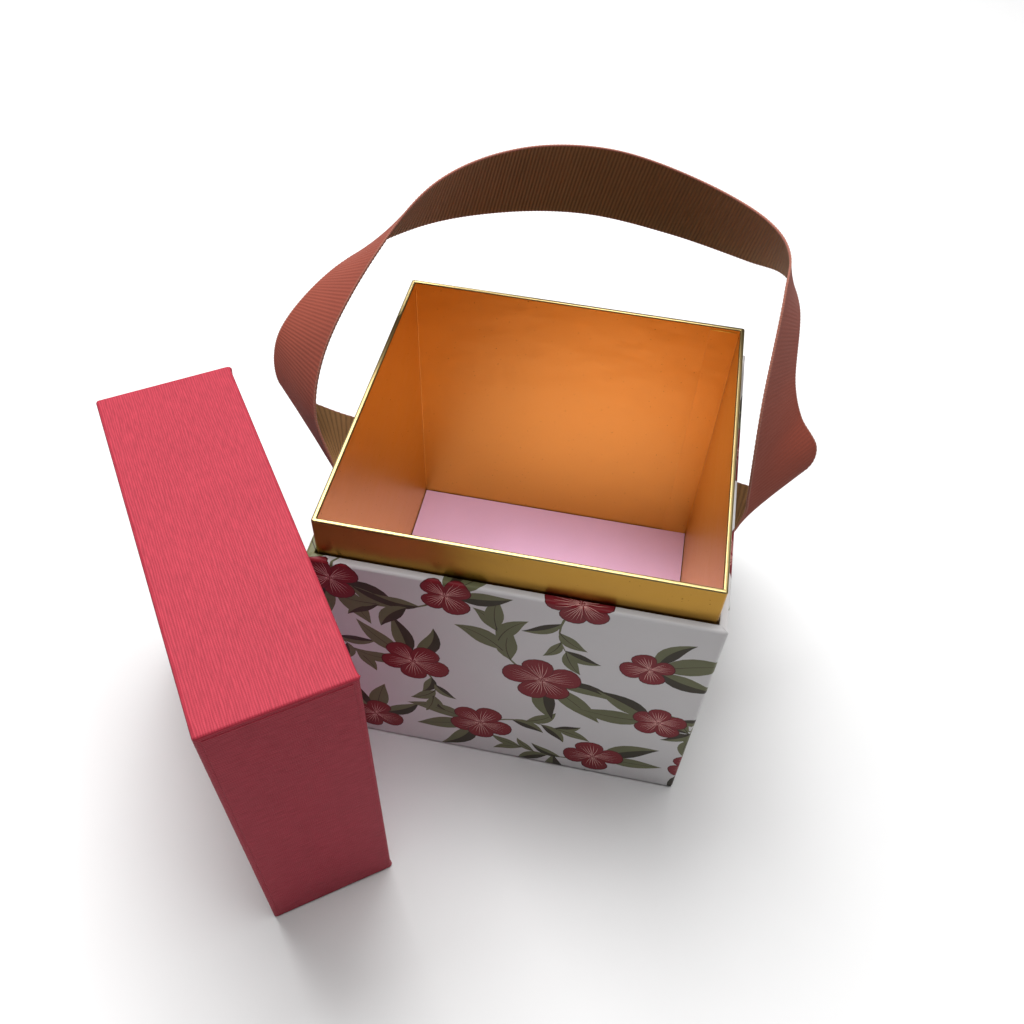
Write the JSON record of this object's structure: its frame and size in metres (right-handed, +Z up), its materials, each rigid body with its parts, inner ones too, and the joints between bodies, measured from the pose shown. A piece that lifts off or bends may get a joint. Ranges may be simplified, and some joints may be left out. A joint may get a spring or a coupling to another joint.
{
  "type": "flower box",
  "caption": "Rigid gift box for flowers: printed tray with a gold neck, a deep linen-paper lid that lifts off, and a grosgrain ribbon handle.",
  "frame": {"origin": "centre of the base's underside, on the surface it stands on", "axes": "+Z up, +X to the right along the front wall, +Y from the front wall to the back wall"},
  "size_m": [0.2123, 0.208, 0.1581],
  "materials": {
    "greyboard": "matte recycled greyboard",
    "kraft_tape": "matte gummed kraft tape",
    "printed_paper": "satin art paper with a red flower and olive leaf print",
    "white_paper": "matte white paper",
    "gold_foil": "brushed gold foil card",
    "pink_paper": "matte pink paper",
    "ribbon_weave": "terracotta grosgrain, brown on its inside face",
    "red_linen_paper": "linen-embossed crimson paper"
  },
  "bodies": {
    "base": {"base_bottom_board": "greyboard", "base_wall_front": "greyboard", "base_wall_back": "greyboard", "base_wall_left": "greyboard", "base_wall_right": "greyboard", "base_corner_stay_1": "kraft_tape", "base_corner_stay_2": "kraft_tape", "base_corner_stay_3": "kraft_tape", "base_corner_stay_4": "kraft_tape", "printed_wrap": "printed_paper", "underside_sheet": "white_paper", "neck_board_front": "greyboard", "neck_board_back": "greyboard", "neck_board_left": "greyboard", "neck_board_right": "greyboard", "neck_gold_foil": "gold_foil", "inner_floor_board": "greyboard", "inner_floor_paper": "pink_paper", "ribbon_tab_left": "ribbon_weave", "ribbon_tab_right": "ribbon_weave"},
    "handle": {"ribbon_handle": "ribbon_weave"},
    "lid": {"lid_top_board": "greyboard", "lid_side_front": "greyboard", "lid_side_back": "greyboard", "lid_side_left": "greyboard", "lid_side_right": "greyboard", "lid_corner_stay_1": "kraft_tape", "lid_corner_stay_2": "kraft_tape", "lid_corner_stay_3": "kraft_tape", "lid_corner_stay_4": "kraft_tape", "lid_linen_wrap": "red_linen_paper", "lid_lining": "pink_paper"}
  },
  "joints": [
    {"name": "handle_swing", "type": "hinge", "parent": "base", "child": "handle", "pos_m": [0, 0, 0.083], "axis": [1, 0, 0], "range_deg": [-24, 48]},
    {"name": "lid_lift", "type": "slide", "parent": "base", "child": "lid", "axis": [0, 0, 1], "range_m": [0, 0.16]}
  ]
}
